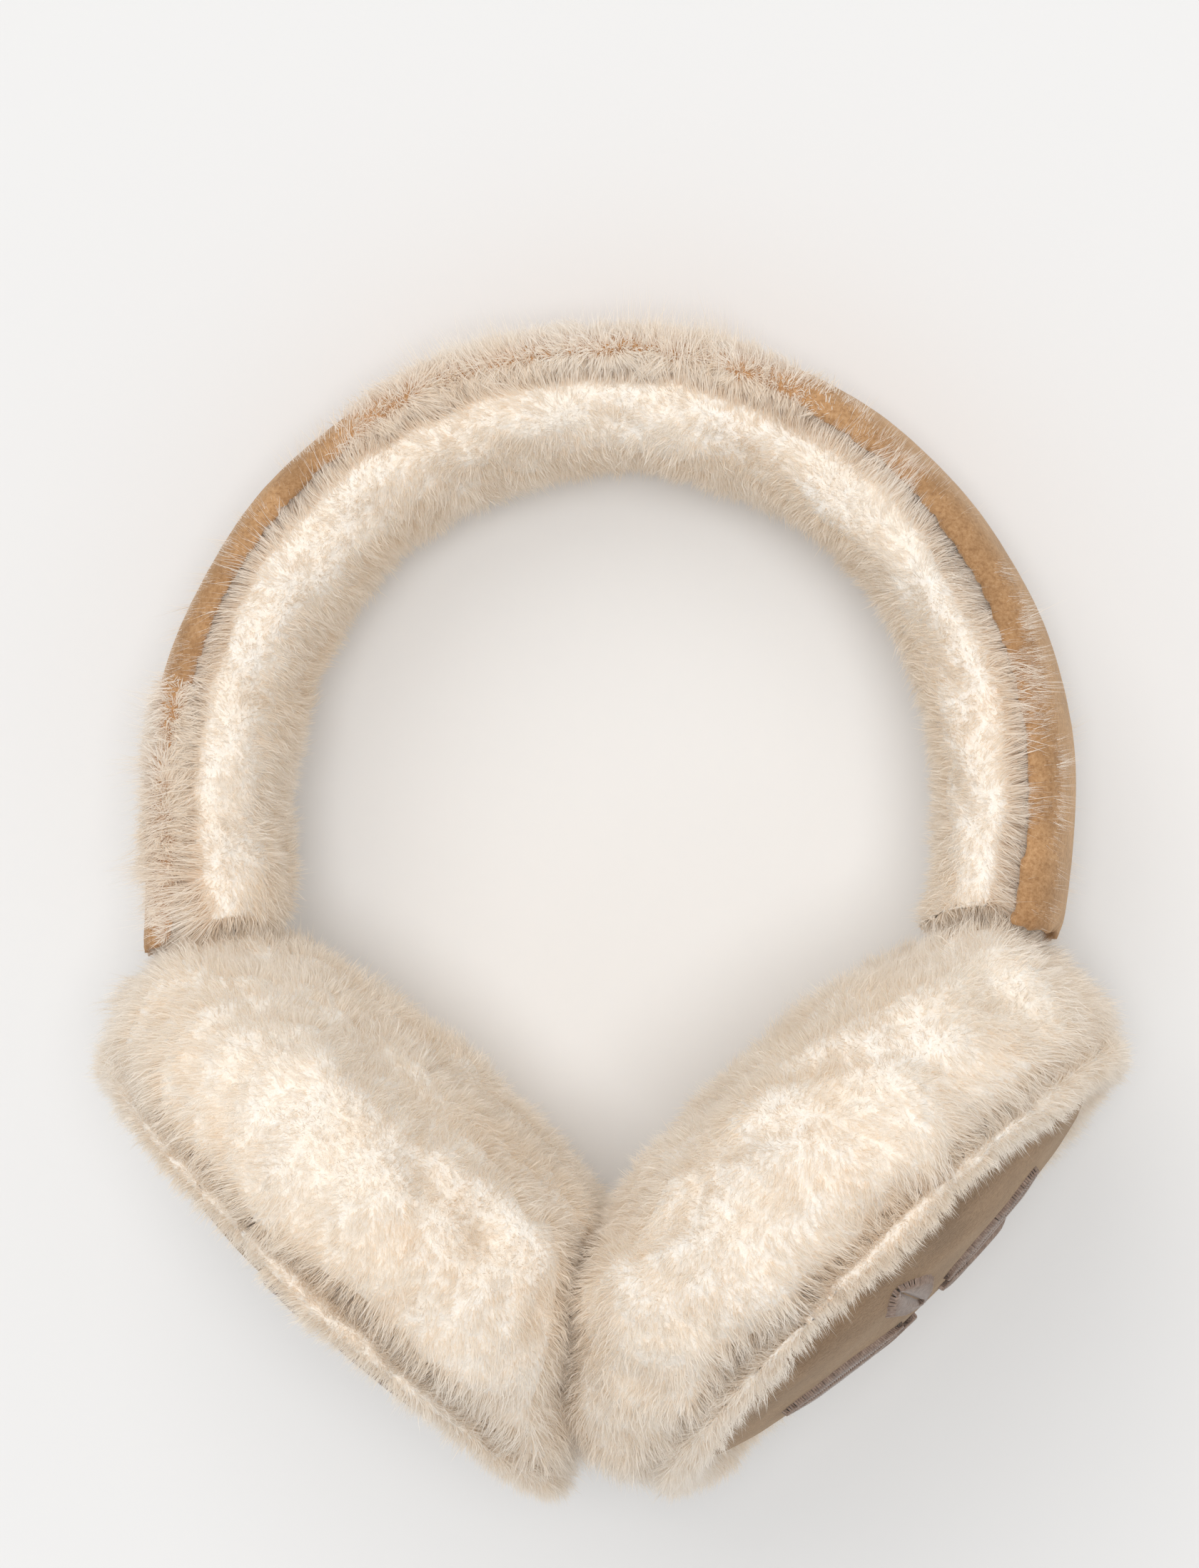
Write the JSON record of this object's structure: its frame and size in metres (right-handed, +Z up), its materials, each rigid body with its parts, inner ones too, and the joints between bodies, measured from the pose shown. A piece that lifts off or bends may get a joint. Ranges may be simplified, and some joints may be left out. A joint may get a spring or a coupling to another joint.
{
  "type": "fur earmuffs",
  "caption": "Sheepskin earmuffs: a padded suede and wool headband arch joining thick round wool ear pads with domed suede outer discs, lying at rest.",
  "frame": {"origin": "on the surface the earmuffs lie on, under the middle of their bounding box", "axes": "+Z up from the surface; +Y towards the crown of the headband; +X towards the right-hand pad as it is seen from above"},
  "size_m": [0.1698, 0.1894, 0.1123],
  "materials": {
    "wool": "deep cream sheepskin wool",
    "suede": "chestnut suede with a fine nap",
    "thread": "satin stitched thread"
  },
  "bodies": {
    "root": {"headband_wool": "wool", "headband_suede": "suede", "left_cushion": "wool", "right_cushion": "wool", "left_wool_disc": "wool", "right_wool_disc": "wool", "left_suede_disc": "suede", "right_suede_disc": "suede"}
  },
  "joints": []
}
